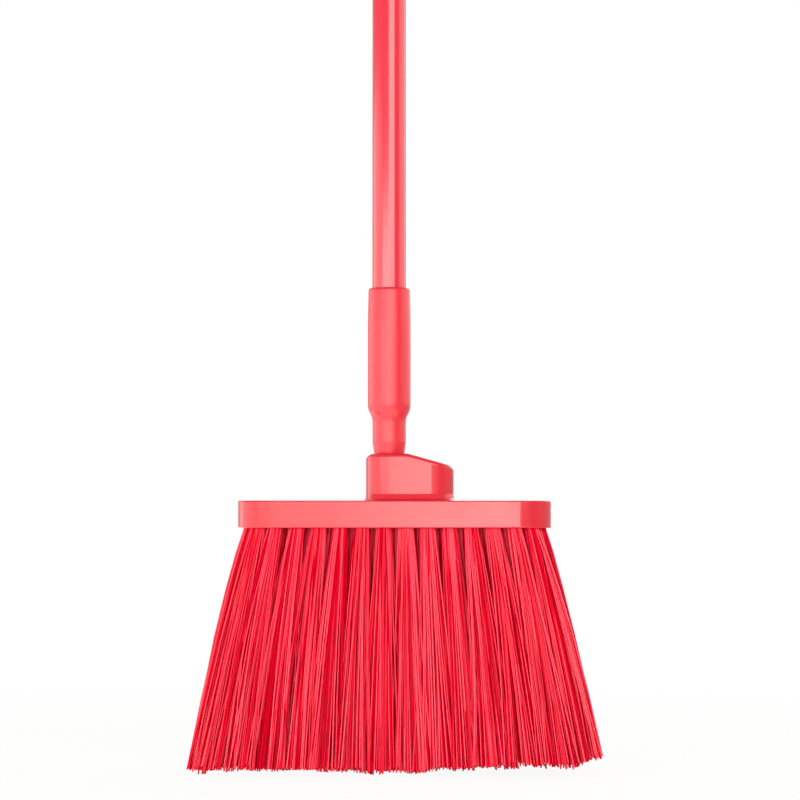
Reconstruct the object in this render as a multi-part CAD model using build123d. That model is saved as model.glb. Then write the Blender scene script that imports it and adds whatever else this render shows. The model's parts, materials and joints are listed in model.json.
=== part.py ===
from build123d import *
from math import cos, pi, radians, sin, tan
import os

# Angle broom: a moulded block with two handle sockets, staple-set bristle tufts and a screw-in handle.
# Millimetres. +Z runs up the handle, +X along the block towards the angled socket, and the origin is on
# the floor under the middle of the block, where the bristle tips stand.

# Block
TRIM_LENGTH = 179.0
BLOCK_LENGTH = 230.0
BLOCK_DEPTH = 48.0
BLOCK_THICKNESS = 20.0
BLOCK_EDGE_ROUND = 1.0

# Hub on top of the block: the straight socket is at one end and the angled socket at the other
HANDLE_X = -4.0
SOCKET_SPACING = 30.4
SOCKET_ANGLE = 15.5
HUB_DEPTH = 34.6
HUB_HEIGHT = 34.2
HUB_RIM_ROUND = 2.8
HUB_RIDGE_ROUND = 6.0
HUB_RIDGE_SET = 2.5
HUB_END_BEVEL = 4.0
HUB_END_ANGLE = 36.0
FOOT_HEIGHT = 4.8
FOOT_FLARE = 4.6
FOOT_END_SHARE = 0.3

# Handle thread: both halves are plain cylinders at the thread's pitch diameter
THREAD_MAJOR_DIAMETER = 19.05
THREAD_PITCH = 5.08
THREAD_LENGTH = 28.0
THREAD_CLEARANCE = 0.1
THREAD_LEAD = 2.0
SOCKET_RELIEF = 1.5
SOCKET_MOUTH = 1.0

# Tufts and their anchors
TUFT_HOLE_DIAMETER = 10.8
TUFT_HOLE_DEPTH = 12.5
TUFT_PITCH = 15.85
ROW_INSET = 10.0
END_TUFTS = 3
END_SHARE = 0.5
TUFT_FIT = 0.05
TUFT_STAND = 2.0
ROOT_SIDES = 10
ANCHOR_THICKNESS = 0.7
ANCHOR_WIDTH = 2.6
ANCHOR_COVER = 3.0

# Bristles: each tuft is drawn with a few thick strands for its many filaments
STRAND_WIDTH = 1.5
STRAND_INSET = 1.6
STRAND_EMBED = 0.8
INNER_STRANDS = 3
OUTER_STRANDS = 8
INNER_RING = 1.4
FLARE_LENGTHWISE = 27.0
FLARE_END = 10.0
FLARE_OUTWARD = 15.0
SPREAD_LENGTHWISE = 16.0
SPREAD_CROSSWISE = 21.0
TUFT_TURN = 137.5

# Handle
HANDLE_LENGTH = 1219.0
TUBE_DIAMETER = 25.4
TUBE_WALL = 0.9
TUBE_FIT = 0.05
SLEEVE_DIAMETER = 31.9
SLEEVE_TOP_DIAMETER = 30.8
SLEEVE_TAPER = 25.0
SLEEVE_TOP_ROUND = 2.2
SLEEVE_LENGTH = 85.5
SHOULDER_HEIGHT = 13.1
NECK_DIAMETER = 24.9
NECK_HEIGHT = 14.6
SEAT_DIAMETER = 22.4
SEAT_TAPER = 8.5
TUBE_STOP = 6.0

# Hanging cap on the top end of the tube
CAP_WALL = 1.6
CAP_SKIRT = 26.0
CAP_HEAD = 34.0
CAP_CROWN = 8.0
CAP_CROWN_ROUND = 5.0
CAP_EDGE_BREAK = 0.6
EYE_RADIUS = 11.0
EYE_THICKNESS = 9.0
EYE_EDGE_ROUND = 1.5
EYE_HOLE_DIAMETER = 9.0

# Levels and radii that follow from the sizes above
block_top = TRIM_LENGTH + BLOCK_THICKNESS
hub_top = block_top + HUB_HEIGHT
hub_radius = HUB_DEPTH / 2
angled_x = HANDLE_X + SOCKET_SPACING
slope_start = HANDLE_X + SEAT_DIAMETER / 2 + HUB_RIDGE_SET
slope_rate = tan(radians(SOCKET_ANGLE))
angled_z = hub_top - (angled_x - slope_start) * slope_rate
left_bevel_x = HANDLE_X - hub_radius + HUB_END_BEVEL
right_bevel_x = angled_x + hub_radius - HUB_END_BEVEL
right_bevel_z = hub_top - (right_bevel_x - slope_start) * slope_rate
spigot_radius = (THREAD_MAJOR_DIAMETER - THREAD_PITCH / 2) / 2
socket_radius = spigot_radius + THREAD_CLEARANCE
socket_depth = THREAD_LENGTH + SOCKET_RELIEF
hole_radius = TUFT_HOLE_DIAMETER / 2
hole_top = TRIM_LENGTH + TUFT_HOLE_DEPTH
row_y = BLOCK_DEPTH / 2 - ROW_INSET
straight_half = (BLOCK_LENGTH - BLOCK_DEPTH) / 2
tube_radius = TUBE_DIAMETER / 2
tube_bore_radius = tube_radius + TUBE_FIT
neck_top = SEAT_TAPER + NECK_HEIGHT
sleeve_bottom = neck_top + SHOULDER_HEIGHT
sleeve_top = sleeve_bottom + SLEEVE_LENGTH
tube_bottom = hub_top + sleeve_bottom + TUBE_STOP
handle_top = hub_top - THREAD_LENGTH + HANDLE_LENGTH
tube_top = handle_top - CAP_HEAD


def foot_section(flare, height):
    """Plan of the hub's foot: the flare widens it front and back, and much less at its two ends."""
    half = hub_radius + flare
    end = hub_radius + flare * FOOT_END_SHARE
    outline = [
        Line((HANDLE_X, -half), (angled_x, -half)),
        EllipticalCenterArc((angled_x, 0), end, half, -90, arc_size=180),
        Line((angled_x, half), (HANDLE_X, half)),
        EllipticalCenterArc((HANDLE_X, 0), end, half, 90, arc_size=180),
    ]
    return Pos(0, 0, height) * make_face(outline)


def make_foot():
    """A hollow quarter-round blend from the block's top up to the hub's wall."""
    sections = []
    for angle in (0, 45, 90):
        flare = FOOT_FLARE * (1 - sin(radians(angle)))
        height = FOOT_HEIGHT * (1 - cos(radians(angle)))
        sections.append(foot_section(flare, block_top + height))
    return loft(sections, ruled=True)


def make_hub():
    """An oval post with a bevel at each end, a slope over the angled socket and every top edge rounded."""
    base = foot_section(0, block_top + FOOT_HEIGHT)
    hub = extrude(base, HUB_HEIGHT - FOOT_HEIGHT)
    cuts = (
        (slope_start, hub_top, SOCKET_ANGLE),
        (left_bevel_x, hub_top, -HUB_END_ANGLE),
        (right_bevel_x, right_bevel_z, HUB_END_ANGLE),
    )
    for x, z, angle in cuts:
        upward = (sin(radians(angle)), 0, cos(radians(angle)))
        hub = split(hub, Plane((x, 0, z), z_dir=upward), Keep.BOTTOM)
    upper = hub.edges().filter_by(lambda edge: edge.center().Z > block_top + HUB_HEIGHT / 2)
    hub = fillet(upper.filter_by(Axis.Y), HUB_RIDGE_ROUND)
    upper = hub.edges().filter_by(lambda edge: edge.center().Z > block_top + HUB_HEIGHT / 2)
    rim = upper.filter_by(Axis.Y, reverse=True).filter_by(Axis.Z, reverse=True)
    return fillet(rim, HUB_RIM_ROUND)


def socket_cutter():
    """A blind handle socket with a countersunk mouth, from its mouth down."""
    bore = Cylinder(socket_radius, socket_depth, align=(Align.CENTER, Align.CENTER, Align.MAX))
    mouth_radius = socket_radius + SOCKET_MOUTH
    mouth = Cone(socket_radius, mouth_radius, SOCKET_MOUTH, align=(Align.CENTER, Align.CENTER, Align.MAX))
    return bore + mouth


def row_places(row, y, columns):
    """Name and place of each tuft in a straight row."""
    return [(f"tuft_{row}_{number:02d}", x, y) for number, x in enumerate(columns, 1)]


def tuft_places():
    """Name and place of every tuft: outer rows, a staggered middle row, and an arc round each end."""
    last = int(2 * straight_half / TUFT_PITCH)
    last_x = last / 2 * TUFT_PITCH
    outer = [column * TUFT_PITCH - last_x for column in range(last + 1)]
    inner = [x + TUFT_PITCH / 2 for x in outer[:-1]]
    end_x = inner[-1] + END_SHARE * (straight_half + row_y - inner[-1])
    places = row_places("front", -row_y, outer)
    places += row_places("middle", 0.0, [-end_x, *inner, end_x])
    places += row_places("back", row_y, outer)
    lead = straight_half - last_x
    step = (2 * lead + pi * row_y) / (END_TUFTS + 1)
    for end, side in (("left", -1), ("right", 1)):
        for number in range(1, END_TUFTS + 1):
            angle = (number * step - lead) / row_y
            x = side * (straight_half + row_y * sin(angle))
            places.append((f"tuft_{end}_end_{number}", x, -row_y * cos(angle)))
    return places


def strand_offsets(turn):
    """Strand places about a tuft's middle: a small ring inside a large one."""
    outer_ring = hole_radius - STRAND_INSET
    rings = ((INNER_STRANDS, INNER_RING), (OUTER_STRANDS, outer_ring))
    offsets = []
    for count, radius in rings:
        for number in range(count):
            angle = radians(turn + 360 * number / count)
            offsets.append((radius * cos(angle), radius * sin(angle)))
    return offsets


def tuft_lean(x, y):
    """How far a tuft's middle moves from its root to the floor: the rows open outwards like a fan."""
    core_x = max(-straight_half, min(straight_half, x))
    lean_x = core_x * FLARE_LENGTHWISE / straight_half + (x - core_x) * FLARE_END / row_y
    return lean_x, y * FLARE_OUTWARD / row_y


def make_anchor(x, y):
    """A flat wire staple wedged across a tuft hole from wall to wall."""
    length = (TUFT_HOLE_DIAMETER ** 2 - ANCHOR_THICKNESS ** 2) ** 0.5
    middle = hole_top - ANCHOR_COVER - ANCHOR_WIDTH / 2
    return Pos(x, y, middle) * Box(length, ANCHOR_THICKNESS, ANCHOR_WIDTH)


def make_tuft(x, y, turn, anchor):
    """The packed root that fills a hole, folded over its anchor, with strands fanning out to the floor."""
    root_radius = hole_radius - TUFT_FIT
    root_bottom = TRIM_LENGTH - TUFT_STAND
    outline = Pos(x, y, root_bottom) * RegularPolygon(root_radius, ROOT_SIDES)
    root = extrude(outline, hole_top - root_bottom) - anchor
    start = root_bottom + STRAND_EMBED
    lean_x, lean_y = tuft_lean(x, y)
    side_x = -1 if x < 0 else 1
    side_y = -1 if y < 0 else 1
    strands = []
    for along, across in strand_offsets(turn):
        along *= side_x
        across *= side_y
        square = Pos(x + along, y + across, start) * Rectangle(STRAND_WIDTH, STRAND_WIDTH)
        fan_x = along * SPREAD_LENGTHWISE / TUFT_HOLE_DIAMETER
        fan_y = across * SPREAD_CROSSWISE / TUFT_HOLE_DIAMETER
        strands.append(Solid.extrude(square.face(), Vector(lean_x + fan_x, lean_y + fan_y, -start)))
    return root.fuse(*strands)


def make_tip():
    """The moulded handle tip: a threaded spigot, a tapered neck, a swelling shoulder and a tube sleeve."""
    neck = NECK_DIAMETER / 2
    sleeve = SLEEVE_DIAMETER / 2
    top = SLEEVE_TOP_DIAMETER / 2
    middle = ((neck + sleeve) / 2, neck_top + SHOULDER_HEIGHT / 2)
    hollow = TangentArc((neck, neck_top), middle, tangent=(0, 1))
    swell = TangentArc(middle, (sleeve, sleeve_bottom), tangent=hollow % 1)
    below = Polyline(
        (0, -THREAD_LENGTH),
        (spigot_radius - THREAD_LEAD, -THREAD_LENGTH),
        (spigot_radius, THREAD_LEAD - THREAD_LENGTH),
        (spigot_radius, 0),
        (SEAT_DIAMETER / 2, 0),
        (neck, SEAT_TAPER),
        (neck, neck_top),
    )
    above = Polyline(
        (sleeve, sleeve_bottom),
        (sleeve, sleeve_top - SLEEVE_TAPER),
        (top, sleeve_top),
        (tube_bore_radius, sleeve_top),
        (tube_bore_radius, sleeve_bottom + TUBE_STOP),
        (0, sleeve_bottom + TUBE_STOP),
        (0, -THREAD_LENGTH),
    )
    profile = Plane.XZ * make_face([below, hollow, swell, above])
    tip = revolve(profile, Axis.Z)
    rim = tip.edges().group_by(Axis.Z)[-1].sort_by(SortBy.RADIUS)[-1]
    tip = fillet(rim, SLEEVE_TOP_ROUND)
    return Pos(HANDLE_X, 0, hub_top) * tip


def make_tube():
    """The thin coated tube between the tip's sleeve and the hanging cap."""
    ring = Circle(tube_radius) - Circle(tube_radius - TUBE_WALL)
    return Pos(HANDLE_X, 0, tube_bottom) * extrude(ring, tube_top - tube_bottom)


def make_cap():
    """A cup over the tube's end with a flat rounded eye standing on it, bored for a hook."""
    radius = tube_bore_radius + CAP_WALL
    above = (Align.CENTER, Align.CENTER, Align.MIN)
    below = (Align.CENTER, Align.CENTER, Align.MAX)
    cup = Pos(0, 0, -CAP_SKIRT) * Cylinder(radius, CAP_SKIRT + CAP_CROWN, align=above)
    cup = fillet(cup.edges().group_by(Axis.Z)[-1], CAP_CROWN_ROUND)
    cup = chamfer(cup.edges().group_by(Axis.Z)[0], CAP_EDGE_BREAK)
    cup = cup - Cylinder(tube_bore_radius, CAP_SKIRT, align=below)
    eye_z = CAP_HEAD - EYE_RADIUS
    foot_length = 2 * radius - CAP_CROWN_ROUND
    foot = Rectangle(foot_length, CAP_CROWN / 2, align=(Align.CENTER, Align.MIN))
    ring = Pos(0, eye_z) * Circle(EYE_RADIUS)
    outline = make_hull(ring.edges() + foot.edges())
    eye = extrude(Plane.XZ * outline, EYE_THICKNESS / 2, both=True)
    flats = eye.faces().filter_by(Axis.Y)
    eye = fillet(flats.edges().filter_by(lambda edge: edge.center().Z > CAP_CROWN / 2), EYE_EDGE_ROUND)
    hole = Pos(0, 0, eye_z) * Rot(90, 0, 0) * Cylinder(EYE_HOLE_DIAMETER / 2, 2 * EYE_THICKNESS)
    return Pos(HANDLE_X, 0, tube_top) * (cup + eye - hole)


def make_block(holes):
    """The moulded block with its hub, both handle sockets and the tuft holes."""
    plan = Pos(0, 0, TRIM_LENGTH) * SlotOverall(BLOCK_LENGTH, BLOCK_DEPTH)
    slab = extrude(plan, BLOCK_THICKNESS)
    edges = slab.faces().sort_by(Axis.Z)[0].edges() + slab.faces().sort_by(Axis.Z)[-1].edges()
    slab = fillet(edges, BLOCK_EDGE_ROUND)
    block = slab + make_foot() + make_hub()
    straight = Pos(HANDLE_X, 0, hub_top) * socket_cutter()
    angled = Pos(angled_x, 0, angled_z) * Rot(0, SOCKET_ANGLE, 0) * socket_cutter()
    block = block - straight - angled
    return block.cut(*holes)


os.makedirs("parts", exist_ok=True)
places = tuft_places()
holes = []
anchors = []
pieces = {}
for name, x, y in places:
    drill = Cylinder(hole_radius, TUFT_HOLE_DEPTH, align=(Align.CENTER, Align.CENTER, Align.MAX))
    holes.append(Pos(x, y, hole_top) * drill)
    anchor = make_anchor(x, y)
    anchors.append(anchor)
    pieces[name] = make_tuft(x, y, TUFT_TURN * abs(round(x)), anchor)
pieces["brush_block"] = make_block(holes)
pieces["tuft_anchors"] = Compound(children=anchors)
pieces["handle_tip"] = make_tip()
pieces["handle_tube"] = make_tube()
pieces["hanging_cap"] = make_cap()
for name, solid in pieces.items():
    export_step(solid, f"parts/{name}.step")
print(len(places), "tufts,", len(places) * (INNER_STRANDS + OUTER_STRANDS), "strands")
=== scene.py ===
# %% [markdown]
# # An angle broom
# The broom has a moulded block with two handle sockets, bristle tufts that fan out to the floor, and a
# tube handle that screws into the straight socket. The hard parts are solids that were drawn in CAD.
# This lesson loads them as a fixed frame, gives every part its real finish, and builds in Blender what
# solids can't show well: the filaments of the tufts and the screw threads.

import json
import math
import random

import bmesh
import bpy
from mathutils import Matrix, Vector


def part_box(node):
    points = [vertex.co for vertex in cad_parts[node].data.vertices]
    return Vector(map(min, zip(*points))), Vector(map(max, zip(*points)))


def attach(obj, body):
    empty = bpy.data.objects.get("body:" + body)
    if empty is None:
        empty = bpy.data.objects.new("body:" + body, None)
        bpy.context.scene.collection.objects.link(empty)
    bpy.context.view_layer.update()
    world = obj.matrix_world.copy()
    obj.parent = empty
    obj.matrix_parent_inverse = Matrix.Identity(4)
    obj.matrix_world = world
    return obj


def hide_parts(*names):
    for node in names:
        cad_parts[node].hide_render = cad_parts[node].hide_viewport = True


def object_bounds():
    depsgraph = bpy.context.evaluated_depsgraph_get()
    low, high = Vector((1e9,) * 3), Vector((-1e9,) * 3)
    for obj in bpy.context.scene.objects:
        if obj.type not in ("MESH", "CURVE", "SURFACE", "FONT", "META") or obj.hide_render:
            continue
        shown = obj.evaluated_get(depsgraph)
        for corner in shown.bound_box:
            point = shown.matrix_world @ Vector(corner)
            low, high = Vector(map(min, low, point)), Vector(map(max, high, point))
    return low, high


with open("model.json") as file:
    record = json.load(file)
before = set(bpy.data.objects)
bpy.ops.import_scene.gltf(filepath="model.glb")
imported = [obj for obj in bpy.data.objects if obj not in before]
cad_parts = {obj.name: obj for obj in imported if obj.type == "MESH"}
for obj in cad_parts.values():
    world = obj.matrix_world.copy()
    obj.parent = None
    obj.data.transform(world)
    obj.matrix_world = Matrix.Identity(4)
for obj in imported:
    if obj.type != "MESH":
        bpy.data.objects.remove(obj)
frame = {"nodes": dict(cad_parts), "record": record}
cad_low, cad_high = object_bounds()
scene = bpy.context.scene
scene.view_settings.view_transform = "Standard"
print("CAD box from", [round(v, 4) for v in cad_low], "to", [round(v, 4) for v in cad_high])

# %% [markdown]
# ## Camera
# The photograph was taken square on: the two ends of the block look alike, and its top face is seen as
# a mere line, so the lens was level with it. The camera stands there, 2.2 m in front of the handle, and
# is tipped up a little towards the middle of the picture. Its lens could be tried out by eye, but it is
# worked out here from the width that the picture has to show at the handle.

# %% Camera
SENSOR_WIDTH_MM = 36.0
VIEW_DISTANCE = 2.2
VIEW_WIDTH = 0.5864
VIEW_MIDDLE_X = 0.0037
VIEW_MIDDLE_Z = 0.2727
CAMERA_Z = 0.2
camera_data = bpy.data.cameras.new("camera")
camera_data.sensor_width = SENSOR_WIDTH_MM
camera_data.lens = SENSOR_WIDTH_MM * VIEW_DISTANCE / VIEW_WIDTH
camera = bpy.data.objects.new("camera", camera_data)
camera.location = (VIEW_MIDDLE_X, -VIEW_DISTANCE, CAMERA_Z)
camera.rotation_euler = (math.pi / 2 + math.atan2(VIEW_MIDDLE_Z - CAMERA_Z, VIEW_DISTANCE), 0, 0)
scene.collection.objects.link(camera)
scene.camera = camera
print("lens", round(camera_data.lens, 1), "mm")

# %% [markdown]
# ## Helpers for finishes
# Colours are written as sRGB hex values, as a colour picker shows them, but shaders calculate with
# linear light. One function converts them. Another adds a node, sets its values and links its inputs in
# one line, so each finish below reads as a short recipe. A Mix node has sockets of the same name for
# several kinds of data, so its colour sockets are called by their numbers.

# %% Colour and node helpers
MM = 0.001
MIX_FIRST = 6
MIX_SECOND = 7
MIX_RESULT = 2


def linear(hex_colour):
    """Linear RGBA of an sRGB hex colour."""
    channels = [int(hex_colour[i:i + 2], 16) / 255 for i in (1, 3, 5)]
    return [c / 12.92 if c <= 0.04045 else ((c + 0.055) / 1.055) ** 2.4 for c in channels] + [1.0]


def add(tree, kind, settings=None, inputs=None):
    """A new node. An input given as another node's output is linked, and any other value is set."""
    node = tree.nodes.new(kind)
    for name, value in (settings or {}).items():
        setattr(node, name, value)
    for key, value in (inputs or {}).items():
        if isinstance(value, bpy.types.NodeSocket):
            tree.links.new(value, node.inputs[key])
        else:
            node.inputs[key].default_value = value
    return node


def start_finish(name):
    """A new material, its node tree, its Principled shader and its Object coordinates."""
    material = bpy.data.materials.new(name)
    material.use_nodes = True
    tree = material.node_tree
    tree.nodes.clear()
    shader = add(tree, "ShaderNodeBsdfPrincipled")
    add(tree, "ShaderNodeOutputMaterial", inputs={"Surface": shader.outputs["BSDF"]})
    place = add(tree, "ShaderNodeTexCoord").outputs["Object"]
    return material, tree, shader, place


print("middle grey in linear light", [round(v, 3) for v in linear("#808080")])

# %% [markdown]
# ## Moulded polypropylene
# The block, the handle tip and the cap are injection-moulded polypropylene. The mould's face is
# spark-eroded, which leaves a fine even grain and a satin gloss. The pigment isn't mixed quite evenly,
# so the red drifts a little over some centimetres, and handling leaves short pale scuffs. All this
# could be painted on an image, but noise in Object coordinates needs no unwrapping and keeps its real
# size. Grain 0.5 mm across is drawn as 0.8 mm, because a finer one would vanish in the picture.

# %% Moulded polypropylene
GRAIN = 0.8 * MM
GRAIN_DEPTH = 0.1 * MM
GRAIN_STRENGTH = 0.12
PIGMENT_DRIFT = 35 * MM
GLOSS_DRIFT = 0.06
SCUFF_LENGTH = 9 * MM
SCUFF_WIDTH = 0.7 * MM
SCUFF_TURN = (0.1, 0.25, 0.2)
SCUFF_START = 0.70
SCUFF_FULL = 0.80
SCUFF_STRENGTH = 0.35
POLYPROPYLENE_IOR = 1.49


def moulded_polypropylene(name, red, deep_red, pale_red, roughness, shine):
    """Satin moulded plastic: pigment drift, a few scuffs and a fine moulded grain."""
    material, tree, shader, place = start_finish(name)
    drift = add(tree, "ShaderNodeTexNoise", inputs={
        "Vector": place, "Scale": 1 / PIGMENT_DRIFT, "Detail": 2.0})
    tone = add(tree, "ShaderNodeMix", {"data_type": "RGBA"}, {
        "Factor": drift.outputs["Fac"], MIX_FIRST: linear(deep_red), MIX_SECOND: linear(red)})
    stretch = add(tree, "ShaderNodeMapping", inputs={
        "Vector": place, "Rotation": SCUFF_TURN,
        "Scale": (1 / SCUFF_LENGTH, 1 / SCUFF_WIDTH, 1 / SCUFF_WIDTH)})
    scratch = add(tree, "ShaderNodeTexNoise", inputs={
        "Vector": stretch.outputs["Vector"], "Scale": 1.0, "Detail": 1.0})
    scuff = add(tree, "ShaderNodeMapRange", inputs={
        "Value": scratch.outputs["Fac"], "From Min": SCUFF_START, "From Max": SCUFF_FULL,
        "To Min": 0.0, "To Max": SCUFF_STRENGTH})
    colour = add(tree, "ShaderNodeMix", {"data_type": "RGBA"}, {
        "Factor": scuff.outputs["Result"],
        MIX_FIRST: tone.outputs[MIX_RESULT], MIX_SECOND: linear(pale_red)})
    tree.links.new(colour.outputs[MIX_RESULT], shader.inputs["Base Color"])
    gloss = add(tree, "ShaderNodeMapRange", inputs={
        "Value": drift.outputs["Fac"],
        "To Min": roughness - GLOSS_DRIFT, "To Max": roughness + GLOSS_DRIFT})
    tree.links.new(gloss.outputs["Result"], shader.inputs["Roughness"])
    grain = add(tree, "ShaderNodeTexNoise", inputs={
        "Vector": place, "Scale": 1 / GRAIN, "Detail": 1.0})
    bump = add(tree, "ShaderNodeBump", inputs={
        "Strength": GRAIN_STRENGTH, "Distance": GRAIN_DEPTH, "Height": grain.outputs["Fac"]})
    tree.links.new(bump.outputs["Normal"], shader.inputs["Normal"])
    shader.inputs["IOR"].default_value = POLYPROPYLENE_IOR
    shader.inputs["Specular IOR Level"].default_value = shine
    return material


block_plastic = moulded_polypropylene(
    "moulded_polypropylene_block", "#C7172B", "#BF1227", "#E45662", roughness=0.18, shine=0.4)
tip_plastic = moulded_polypropylene(
    "moulded_polypropylene_tip", "#CE182C", "#C61328", "#E65864", roughness=0.34, shine=0.5)
cap_plastic = moulded_polypropylene(
    "moulded_polypropylene_cap", "#CE182C", "#C61328", "#E65864", roughness=0.34, shine=0.5)
print("made", block_plastic.name, tip_plastic.name, cap_plastic.name)

# %% [markdown]
# ## Coated steel tube
# The handle is a thin steel tube with a smooth red plastic coat drawn on along its length. It is
# glossier than the mouldings. The die leaves faint streaks along the tube, a few millimetres apart, and
# the coat has a slight orange peel that breaks up the long highlight. An anisotropic shader would
# stretch the highlight too, but noise that is stretched along the tube also changes the colour from
# streak to streak.

# %% Coated steel tube
STREAK_SPACING = 2.5 * MM
STREAK_LENGTH = 120 * MM
ORANGE_PEEL = 3 * MM
PEEL_DEPTH = 0.1 * MM
PEEL_STRENGTH = 0.08
COAT_ROUGHNESS_LOW = 0.10
COAT_ROUGHNESS_HIGH = 0.20
COAT_IOR = 1.5
coated_steel, tree, shader, place = start_finish("plastic_coated_steel")
along = add(tree, "ShaderNodeMapping", inputs={
    "Vector": place, "Scale": (1 / STREAK_SPACING, 1 / STREAK_SPACING, 1 / STREAK_LENGTH)})
streak = add(tree, "ShaderNodeTexNoise", inputs={
    "Vector": along.outputs["Vector"], "Scale": 1.0, "Detail": 2.0})
coat_red = add(tree, "ShaderNodeMix", {"data_type": "RGBA"}, {
    "Factor": streak.outputs["Fac"], MIX_FIRST: linear("#C2122C"), MIX_SECOND: linear("#CC1B34")})
tree.links.new(coat_red.outputs[MIX_RESULT], shader.inputs["Base Color"])
coat_gloss = add(tree, "ShaderNodeMapRange", inputs={
    "Value": streak.outputs["Fac"], "To Min": COAT_ROUGHNESS_LOW, "To Max": COAT_ROUGHNESS_HIGH})
tree.links.new(coat_gloss.outputs["Result"], shader.inputs["Roughness"])
peel = add(tree, "ShaderNodeTexNoise", inputs={
    "Vector": place, "Scale": 1 / ORANGE_PEEL, "Detail": 1.0})
peel_bump = add(tree, "ShaderNodeBump", inputs={
    "Strength": PEEL_STRENGTH, "Distance": PEEL_DEPTH, "Height": peel.outputs["Fac"]})
tree.links.new(peel_bump.outputs["Normal"], shader.inputs["Normal"])
shader.inputs["IOR"].default_value = COAT_IOR
print("made", coated_steel.name)

# %% [markdown]
# ## Anchor wire
# Each tuft is folded over a flat steel wire that is driven across its hole. The anchors lie inside the
# block and could stay plain grey, but they belong to the broom. So they get drawn steel: a metal with
# fine lines, made by noise that is stretched in one direction.

# %% Anchor wire
LINE_WIDTH = 0.15 * MM
LINE_LENGTH = 3 * MM
WIRE_ROUGHNESS_LOW = 0.25
WIRE_ROUGHNESS_HIGH = 0.5
drawn_steel, tree, shader, place = start_finish("drawn_steel_wire")
lines = add(tree, "ShaderNodeMapping", inputs={
    "Vector": place, "Scale": (1 / LINE_LENGTH, 1 / LINE_WIDTH, 1 / LINE_WIDTH)})
drawn = add(tree, "ShaderNodeTexNoise", inputs={"Vector": lines.outputs["Vector"], "Scale": 1.0})
drawn_gloss = add(tree, "ShaderNodeMapRange", inputs={
    "Value": drawn.outputs["Fac"], "To Min": WIRE_ROUGHNESS_LOW, "To Max": WIRE_ROUGHNESS_HIGH})
tree.links.new(drawn_gloss.outputs["Result"], shader.inputs["Roughness"])
shader.inputs["Base Color"].default_value = linear("#B9BABB")
shader.inputs["Metallic"].default_value = 1.0
print("made", drawn_steel.name)

# %% [markdown]
# ## Finishes on the CAD parts
# Each hard part of the broom is made of one material. A finish could be given face by face, but none of
# these parts changes its material half-way, so all the slots of a part get the same one.

# %% Finishes on the CAD parts
FINISHES = {
    "brush_block": block_plastic,
    "handle_tip": tip_plastic,
    "hanging_cap": cap_plastic,
    "handle_tube": coated_steel,
    "tuft_anchors": drawn_steel,
}
for node, material in FINISHES.items():
    for part_slot in frame["nodes"][node].material_slots:
        part_slot.material = material
    print(node, "is", material.name)

# %% [markdown]
# ## Polyester filament
# The bristles are extruded polyester filaments, slightly glossy. Their red is so strong that light
# which bounces between them turns deeper, and the gaps glow in a dark red and don't turn black. Every
# filament gets a random tone. A material for each would mean thousands, so a filament carries its tone
# as a number on its vertices. The finish reads that number and goes from a dull deep red to a shiny
# bright, pinkish red. Part of this is each filament's own tone, and part is painted light: the dull deep
# red is painted shade, as on filaments deep in the brush, and the pinkish bright red is painted sheen.

# %% Polyester filament
# Name of each filament's random tone, which the finish also turns into painted shade and sheen.
TONE_AND_SHADE = "filament_tone_and_shade"
DULL_TONE = 0.25
SHINY_TONE = 0.75
FULL_SHINE = 0.45
CRIMP = 4 * MM
FILAMENT_ROUGHNESS_LOW = 0.28
FILAMENT_ROUGHNESS_HIGH = 0.42
POLYESTER_IOR = 1.57
polyester, tree, shader, place = start_finish("polyester_filament")
own_tone_and_shade = add(tree, "ShaderNodeAttribute", {"attribute_name": TONE_AND_SHADE})
own_shine = add(tree, "ShaderNodeMapRange", inputs={
    "Value": own_tone_and_shade.outputs["Fac"], "From Min": DULL_TONE, "From Max": SHINY_TONE,
    "To Max": FULL_SHINE})
# Painted shade and sheen: the random tone mixes a dull deep red, painted shade for filaments deep in the
# brush, with a pinkish bright red, painted sheen for lit filaments.
filament_red_and_shade = add(tree, "ShaderNodeMix", {"data_type": "RGBA"}, {
    "Factor": own_tone_and_shade.outputs["Fac"], MIX_FIRST: linear("#C4001C"), MIX_SECOND: linear("#FF1B47")})
tree.links.new(filament_red_and_shade.outputs[MIX_RESULT], shader.inputs["Base Color"])
crimp = add(tree, "ShaderNodeTexNoise", inputs={"Vector": place, "Scale": 1 / CRIMP, "Detail": 1.0})
filament_gloss = add(tree, "ShaderNodeMapRange", inputs={
    "Value": crimp.outputs["Fac"], "To Min": FILAMENT_ROUGHNESS_LOW, "To Max": FILAMENT_ROUGHNESS_HIGH})
tree.links.new(filament_gloss.outputs["Result"], shader.inputs["Roughness"])
tree.links.new(own_shine.outputs["Result"], shader.inputs["Specular IOR Level"])
shader.inputs["IOR"].default_value = POLYESTER_IOR
print("made", polyester.name)

# %% [markdown]
# ## One filament
# A filament is a long thin rod. Hair curves would draw thousands of them at once, but the broom is
# handed on as plain meshes. So the filament is a seven-sided prism from the cone tool, and its long
# edges are divided into a few rings. The rings are pulled together towards the root, where a filament
# bends most. The rod has a length and a radius of one unit. Each copy is then laid along its own path,
# ring by ring, so a single small shape gives thousands of different bristles.

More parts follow.
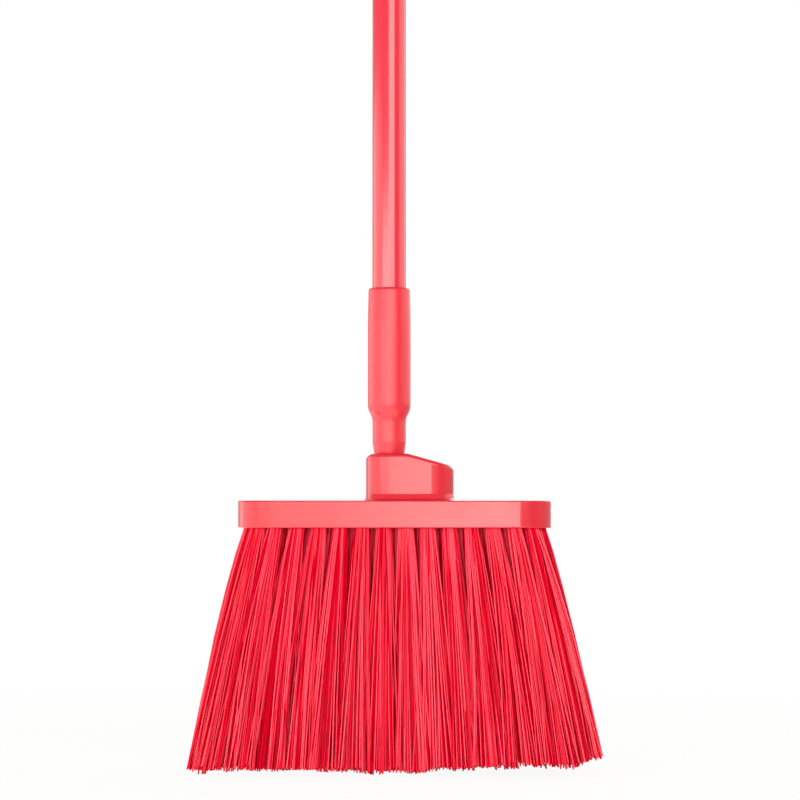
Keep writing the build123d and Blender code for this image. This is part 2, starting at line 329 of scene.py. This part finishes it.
# %% One filament
FILAMENT_SIDES = 7
FILAMENT_RINGS = 5
RING_PULL = 1.8
SHARP_EDGE = math.radians(80)
rod = bmesh.new()
bmesh.ops.create_cone(rod, cap_ends=True, segments=FILAMENT_SIDES, radius1=1, radius2=1, depth=1)
bmesh.ops.translate(rod, verts=rod.verts, vec=(0, 0, 0.5))
long_edges = [e for e in rod.edges if abs(e.verts[0].co.z - e.verts[1].co.z) > 0.5]
bmesh.ops.subdivide_edges(rod, edges=long_edges, cuts=FILAMENT_RINGS)
for vert in rod.verts:
    vert.co.z = 1 - (1 - vert.co.z) ** RING_PULL
for face in rod.faces:
    face.smooth = True
for edge in rod.edges:
    edge.smooth = edge.calc_face_angle() < SHARP_EDGE
filament_mesh = bpy.data.meshes.new("filament")
rod.to_mesh(filament_mesh)
rod.free()
print("a filament has", len(filament_mesh.polygons), "faces")

# %% [markdown]
# ## Where a tuft stands
# A tuft fills a round hole in the block and fans out to the floor. Its places could be typed in again,
# but they are read from the CAD part that it stands for, so both always agree. The root's top ring
# tells where the hole is, and the strands' ends on the floor tell how far the tuft leans and spreads.
# In the hole the filaments are packed as seeds in a sunflower, which fills a circle evenly.

# %% Where a tuft stands
SAME_LEVEL = 1e-6
GOLDEN_TURN = math.pi * (3 - math.sqrt(5))


def read_tuft(node):
    """Root middle, lean, floor reach and root radius of a CAD tuft, from its own vertices."""
    points = [v.co for v in frame["nodes"][node].data.vertices]
    top = max(p.z for p in points)
    ring = [p for p in points if p.z > top - SAME_LEVEL]
    foot = [p for p in points if p.z < SAME_LEVEL]
    middles = []
    reaches = []
    for group in (ring, foot):
        low = Vector((min(p.x for p in group), min(p.y for p in group)))
        high = Vector((max(p.x for p in group), max(p.y for p in group)))
        middles.append((low + high) / 2)
        reaches.append((high - low) / 2)
    return middles[0], middles[1] - middles[0], reaches[1], reaches[0].x


def sunflower(number, total):
    """Place of a seed in a round head of radius one."""
    ring = math.sqrt((number + 0.5) / total)
    return Vector((ring * math.cos(number * GOLDEN_TURN), ring * math.sin(number * GOLDEN_TURN)))


print("first tuft's root", [round(v, 4) for v in read_tuft("tuft_front_01")[0]])

# %% [markdown]
# ## Trimmed and worn tips
# The tips are trimmed flat with small errors, mostly by whole clumps. The front and back edges are
# rounded a little, and the trimmed edge is worn unevenly, most of all at the right corner. One cutting
# plane would give all the tips the same level, so each tip adds up its own. The wear is a short list of
# places along the broom and of the length that is lost there, with straight lines between them.

# %% Trimmed and worn tips
TRIM_LEVEL = 3.1 * MM
CLUMP_TRIM_ERROR = 1.4 * MM
TRIM_ERROR = 0.6 * MM
EDGE_ROUNDING = 2 * MM
WEAR = ((-0.140, 0.0), (-0.115, 0.0020), (-0.090, 0.0014), (-0.045, 0.0013), (-0.020, 0.0), (0.020, 0.0),
        (0.035, 0.0022), (0.070, 0.0030), (0.095, 0.0050), (0.130, 0.0040), (0.153, 0.0110))


def wear(x):
    """Length that the bristles have lost at x."""
    lost = 0.0
    for (x0, lost0), (x1, lost1) in zip(WEAR, WEAR[1:]):
        share = min(1.0, max(0.0, (x - x0) / (x1 - x0)))
        lost += share * (lost1 - lost0)
    return lost


print("right corner worn by", round(wear(cad_high.x) / MM, 1), "mm")

# %% [markdown]
# ## Filament paths
# Below the block the filaments don't spread one by one: neighbours cling together in clumps, and each
# clump takes its own direction. That gives the bright and dark streaks of real bristles. A few
# filaments stray. A simulation could bend them, but a rule with random errors is quick and gives the
# same broom each time. A tuft bursts open as soon as it leaves its hole. As a whole it swings out fast
# at first and then straightens, but its spread lags behind, so that narrow dark gaps stay open between
# the roots.

# %% Filament paths
FILAMENTS = 100
CLUMPS = 18
FILAMENT_RADIUS = 0.54 * MM
BURST = 1.1 * MM
FAN_FILL = Vector((1.5, 1.08))
CLUMP_ERROR = 2.0 * MM
TIP_ERROR = 3.0 * MM
STRAY_SHARE = 0.10
STRAY_ERROR = 6 * MM
EDGE_DEPTH = 5 * MM
SWING = 0.25
CLUMP_SWING_ERROR = 0.12
SWING_ERROR = 0.04
STRAY_SWING_ERROR = 0.25


def scatter(draw, size):
    """A random shift on the floor."""
    return Vector((draw.gauss(0, size), draw.gauss(0, size)))


def keep_inside(value, limit, draw):
    """A tip that would leave the broom's outline is laid a little inside its edge."""
    if abs(value) < limit:
        return value
    return math.copysign(limit - abs(draw.gauss(0, EDGE_DEPTH)), value)


def make_clumps(draw):
    """For each clump of a tuft: its seed place, drift, swing and trim."""
    clumps = []
    for number in range(CLUMPS):
        drift = scatter(draw, CLUMP_ERROR)
        swing = SWING + draw.gauss(0, CLUMP_SWING_ERROR)
        trim = max(0.0, draw.gauss(TRIM_LEVEL, CLUMP_TRIM_ERROR))
        clumps.append((sunflower(number, CLUMPS), drift, swing, trim))
    return clumps


def filament_paths(node, draw):
    """For each filament of a tuft: root, burst, lean, spread, swing, tip level and tone, which also sets
    its painted shade and sheen.
    """
    middle, lean, reach, radius = read_tuft(node)
    limit = cad_high.xy - Vector((FILAMENT_RADIUS, FILAMENT_RADIUS))
    clumps = make_clumps(draw)
    paths = []
    for number in range(FILAMENTS):
        seed = sunflower(number, FILAMENTS)
        drift, swing, trim = min(clumps, key=lambda clump: (clump[0] - seed).length)[1:]
        stray = draw.random() < STRAY_SHARE
        error = STRAY_ERROR if stray else TIP_ERROR
        tip = middle + lean + seed * reach * FAN_FILL + drift + scatter(draw, error)
        tip.x = keep_inside(tip.x, limit.x, draw)
        tip.y = keep_inside(tip.y, limit.y, draw)
        start = middle + seed * (radius - FILAMENT_RADIUS)
        rounding = EDGE_ROUNDING * (tip.y / limit.y) ** 2
        level = wear(tip.x) + rounding + trim + abs(draw.gauss(0, TRIM_ERROR))
        swing += draw.gauss(0, STRAY_SWING_ERROR if stray else SWING_ERROR)
        paths.append((start, seed * BURST, lean, tip - start - lean, swing, level, draw.random()))
    return paths


print(FILAMENTS, "filaments in", CLUMPS, "clumps to a tuft")

# %% [markdown]
# ## Grow the tufts
# On the real broom a machine sets one tuft after the other. Each filament could be an object of its
# own, but one mesh for a tuft loads faster and takes the place of its CAD part as one piece. Every copy
# of the rod is bent along its path, ring by ring, and gets its tone, which the finish also turns into
# painted shade and sheen. Each tuft has its own start number for the random draws, so it comes out the
# same on every run.

# %% Grow the tufts
FIRST_DRAW = 1000
TRIM_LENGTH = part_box("brush_block")[0].z
ROOT_DEPTH = 6 * MM
SPREAD_LAG = 0.45
BURST_POWER = 100
tuft_nodes = [n for n in frame["nodes"] if n.startswith("tuft_") and n != "tuft_anchors"]
filament_total = 0
for index, node in enumerate(sorted(tuft_nodes)):
    draw = random.Random(FIRST_DRAW + index)
    tuft = bmesh.new()
    # Each filament's random tone, kept on its vertices; the finish also paints shade and sheen from it.
    tones_and_shades = tuft.verts.layers.float.new(TONE_AND_SHADE)
    for start, burst, lean, spread, swing, level, tone in filament_paths(node, draw):
        before = len(tuft.verts)
        tuft.from_mesh(filament_mesh)
        tuft.verts.ensure_lookup_table()
        for vert in tuft.verts[before:]:
            z = level + (TRIM_LENGTH + ROOT_DEPTH - level) * vert.co.z
            way = max(0.0, (TRIM_LENGTH - z) / (TRIM_LENGTH - level))
            out = way + swing * way * (1 - way)
            lagging = out - SPREAD_LAG * way * (1 - way)
            opened = 1 - way - (1 - way) ** BURST_POWER
            middle = start + lean * out + spread * lagging + burst * opened
            vert[tones_and_shades] = tone
            vert.co = (middle + FILAMENT_RADIUS * vert.co.xy).to_3d() + Vector((0, 0, z))
        filament_total += 1
    mesh = bpy.data.meshes.new(node.replace("tuft", "filaments"))
    tuft.to_mesh(mesh)
    tuft.free()
    mesh.materials.append(polyester)
    piece = bpy.data.objects.new(mesh.name, mesh)
    scene.collection.objects.link(piece)
    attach(piece, "head")
    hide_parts(node)
print(filament_total, "filaments in", len(tuft_nodes), "tufts")

# %% [markdown]
# ## Screw threads
# The handle tip's spigot has a coarse thread, and both sockets have its counterpart. In the solids both
# are plain cylinders half-way up the thread. A Screw modifier could wind the ridge, but the spin tool
# can rise while it turns too and gives a plain mesh at once, so a small trapezoid is swept along a
# helix with it. Each end runs out into the cylinder, as a moulded thread does. The foot is sunk in a
# little, to leave no gap.

# %% Screw threads
THREAD_PITCH = 5.08 * MM
THREAD_STEPS = 28
THREAD_START = 3.5 * MM
THREAD_LENGTH = 20 * MM
THREAD_HEIGHT = 1.15 * MM
THREAD_FOOT = 3.4 * MM
THREAD_CREST = 1.5 * MM
THREAD_PLAY = 0.1 * MM
RUN_OUT = 0.8 * THREAD_PITCH
SINK = 0.25 * MM


def make_thread(name, foot_radius, crest_radius, place):
    """A helical ridge from foot to crest radius, set in its place by a matrix."""
    turns = THREAD_LENGTH / THREAD_PITCH
    steps = round(turns * THREAD_STEPS)
    bm = bmesh.new()
    corners = [(foot_radius, -THREAD_FOOT / 2), (crest_radius, -THREAD_CREST / 2),
               (crest_radius, THREAD_CREST / 2), (foot_radius, THREAD_FOOT / 2)]
    profile = [bm.verts.new((r, 0, z)) for r, z in corners]
    section = bm.faces.new(profile)
    bmesh.ops.spin(bm, geom=[*profile, *section.edges, section], cent=(0, 0, 0), axis=(0, 0, 1),
                   dvec=(0, 0, THREAD_LENGTH / steps), angle=turns * 2 * math.pi, steps=steps,
                   use_merge=False)
    for vert in bm.verts:
        from_end = THREAD_FOOT / 2 + min(vert.co.z, THREAD_LENGTH - vert.co.z)
        rise = max(0.0, min(1.0, from_end / RUN_OUT))
        radius = math.hypot(vert.co.x, vert.co.y)
        wanted = foot_radius + (radius - foot_radius) * rise
        vert.co.x *= wanted / radius
        vert.co.y *= wanted / radius
    bmesh.ops.recalc_face_normals(bm, faces=bm.faces)
    for face in bm.faces:
        face.smooth = True
    bmesh.ops.transform(bm, matrix=place, verts=bm.verts)
    mesh = bpy.data.meshes.new(name)
    bm.to_mesh(mesh)
    bm.free()
    piece = bpy.data.objects.new(name, mesh)
    scene.collection.objects.link(piece)
    print(name, len(mesh.polygons), "faces")
    return piece


mounts = {mount["name"]: mount for mount in frame["record"]["mounts"]}
angled = mounts["angled_socket"]
socket_radius = angled["dims"]["r_mm"] * MM
spigot_radius = socket_radius - THREAD_PLAY
tip_low, tip_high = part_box("handle_tip")
handle_x = (tip_low.x + tip_high.x) / 2
thread_z = tip_low.z + THREAD_START
spigot_place = Matrix.Translation((handle_x, 0, thread_z))
spigot_thread = make_thread(
    "spigot_thread", spigot_radius - SINK, spigot_radius + THREAD_HEIGHT, spigot_place)
spigot_thread.data.materials.append(tip_plastic)
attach(spigot_thread, "handle")

# %% [markdown]
# ## Socket threads
# In a socket the ridge stands on the wall and points inwards, so its crest has the smaller radius. It
# could be cut out of the block by a Boolean, but a ridge laid on the wall leaves the CAD mesh as it is.
# The straight socket's ridge is half a pitch above the spigot's, so it lies between the spigot's turns.
# The angled one follows the axis of the CAD mount, which has its place in the middle of that bore.

# %% Socket threads
angled_axis = Vector(angled["axis"])
turned = Vector((0, 0, 1)).rotation_difference(angled_axis).to_matrix().to_4x4()
angled_foot = Vector(angled["pos_m"]) - angled_axis * THREAD_LENGTH / 2
angled_place = Matrix.Translation(angled_foot) @ turned
straight_place = Matrix.Translation((handle_x, 0, thread_z + THREAD_PITCH / 2))
for name, place in (("angled_socket_thread", angled_place), ("straight_socket_thread", straight_place)):
    socket_thread = make_thread(name, socket_radius + SINK, socket_radius - THREAD_HEIGHT, place)
    socket_thread.data.materials.append(block_plastic)
    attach(socket_thread, "head")

# %% [markdown]
# ## Floor
# The broom stands on its bristle tips on a plain white floor. The camera should see white all round,
# but a floor that shone on the broom would wash out its reds. So it looks white to camera, glossy and
# transmitted rays only. Near the broom a share of the floor stays a plain white surface, which keeps
# the shadow. Further out it fades into pure white, so that no horizon shows.

# %% Floor
FLOOR_SIZE = 12.0
FLOOR_GLOW = 0.93
SHADOW_REACH = 0.5
SHADOW_END = 1.2


def seen_directly(tree):
    """1 for camera, glossy and transmitted rays, and 0 for the rays that light a surface."""
    path = add(tree, "ShaderNodeLightPath")
    glossy = add(tree, "ShaderNodeMath", {"operation": "MAXIMUM"}, {
        0: path.outputs["Is Camera Ray"], 1: path.outputs["Is Glossy Ray"]})
    either = add(tree, "ShaderNodeMath", {"operation": "MAXIMUM"}, {
        0: glossy.outputs[0], 1: path.outputs["Is Transmission Ray"]})
    return either.outputs[0]


ground = bmesh.new()
bmesh.ops.create_grid(ground, x_segments=1, y_segments=1, size=FLOOR_SIZE / 2)
floor_mesh = bpy.data.meshes.new("floor")
ground.to_mesh(floor_mesh)
ground.free()
floor = bpy.data.objects.new("floor", floor_mesh)
scene.collection.objects.link(floor)
floor_finish = bpy.data.materials.new("white_floor")
floor_finish.use_nodes = True
tree = floor_finish.node_tree
tree.nodes.clear()
matt = add(tree, "ShaderNodeBsdfDiffuse", inputs={"Color": linear("#F7F7F7")})
glow = add(tree, "ShaderNodeEmission", inputs={"Color": linear("#FFFFFF"), "Strength": 1.0})
distance = add(tree, "ShaderNodeVectorMath", {"operation": "LENGTH"}, {
    0: add(tree, "ShaderNodeTexCoord").outputs["Object"]})
fade = add(tree, "ShaderNodeMapRange", inputs={
    "Value": distance.outputs["Value"], "From Min": SHADOW_REACH, "From Max": SHADOW_END,
    "To Min": FLOOR_GLOW, "To Max": 1.0})
glow_share = add(tree, "ShaderNodeMath", {"operation": "MULTIPLY"}, {
    0: seen_directly(tree), 1: fade.outputs["Result"]})
mixed = add(tree, "ShaderNodeMixShader", inputs={
    0: glow_share.outputs[0], 1: matt.outputs["BSDF"], 2: glow.outputs["Emission"]})
add(tree, "ShaderNodeOutputMaterial", inputs={"Surface": mixed.outputs["Shader"]})
floor_mesh.materials.append(floor_finish)
print("floor", FLOOR_SIZE, "m wide")

# %% [markdown]
# ## Background
# A white room surrounds the broom. It could be built of walls, but the world gives light from all sides
# without any. It uses the same switch as the floor: rays that are seen directly find white, and for the
# light that falls on the broom the world is a softer grey.

# %% Background
AMBIENT = 0.2
world = bpy.data.worlds.new("white_room")
world.use_nodes = True
scene.world = world
tree = world.node_tree
tree.nodes.clear()
brightness = add(tree, "ShaderNodeMapRange", inputs={
    "Value": seen_directly(tree), "To Min": AMBIENT, "To Max": 1.0})
sky = add(tree, "ShaderNodeBackground", inputs={
    "Color": linear("#FFFFFF"), "Strength": brightness.outputs["Result"]})
add(tree, "ShaderNodeOutputWorld", inputs={"Surface": sky.outputs["Background"]})
print("ambient light", AMBIENT)

# %% [markdown]
# ## Light
# The photograph tells where its lamps stood, because smooth plastic mirrors them. The flat faces of the
# block and hub carry a broad pale sheen, which stops sharply where they curve away to the right. So
# soft boxes at the camera's level end just right of it and reach round to the left. The sleeve and the
# tube mirror higher places and show a bright strip right of their middle: the key box stands there,
# above the camera. A wide box on the left lights the rounded left sides, and one on the right the other
# rims. The shoulder and the neck's seat face down and mirror the floor, where two bright cards lie that
# give a mirror image and no other light. A lamp behind keeps the back readable. Two fills give light
# and no mirror image: one overhead for the top faces, and a low wide one in front that reaches into the
# gaps between the bristles. All are slightly warm.

# %% Light
WARM_WHITE = linear("#FFFBF2")[:3]


def soft_box(name, place, width, height, watts):
    """A rectangular lamp, hidden from the camera, that faces the middle axis at its own height."""
    lamp = bpy.data.lights.new(name, "AREA")
    lamp.shape = "RECTANGLE"
    lamp.size = width
    lamp.size_y = height
    lamp.energy = watts
    lamp.color = WARM_WHITE
    holder = bpy.data.objects.new(name, lamp)
    holder.location = place
    holder.rotation_euler = Vector((-place[0], -place[1], 0)).to_track_quat("-Z", "Y").to_euler()
    holder.visible_camera = False
    scene.collection.objects.link(holder)
    print(name, watts, "W")
    return holder


soft_box("key_soft_box", (0.56, -2.23, 0.765), 1.58, 0.77, 27)
soft_box("front_left_soft_box", (-0.90, -1.90, 0.43), 1.78, 0.38, 18)
soft_box("low_left_soft_box", (-0.90, -1.90, 0.11), 1.78, 0.22, 2.2)
soft_box("low_front_soft_box", (0.10, -2.30, 0.15), 0.28, 0.30, 3.6)
soft_box("left_soft_box", (-2.00, 0.00, 0.39), 3.40, 0.78, 23)
soft_box("right_side_soft_box", (2.20, 0.47, 0.90), 3.05, 1.14, 24)
soft_box("back_fill", (0.80, 2.60, 1.00), 1.50, 2.00, 30)
top_fill = soft_box("top_fill", (0.00, 0.20, 2.60), 1.50, 1.50, 20)
top_fill.rotation_euler = (0, 0, 0)
low_fill = soft_box("low_fill", (0.00, -2.00, 0.08), 2.40, 0.14, 6)
for fill in (top_fill, low_fill):
    fill.visible_glossy = False
cards = [soft_box("front_floor_card", (-0.60, -0.62, 0.012), 1.70, 1.05, 17),
         soft_box("left_floor_card", (-0.83, 0.25, 0.012), 1.23, 0.70, 6.5)]
for card in cards:
    card.rotation_euler = (math.pi, 0, 0)
    card.visible_diffuse = False
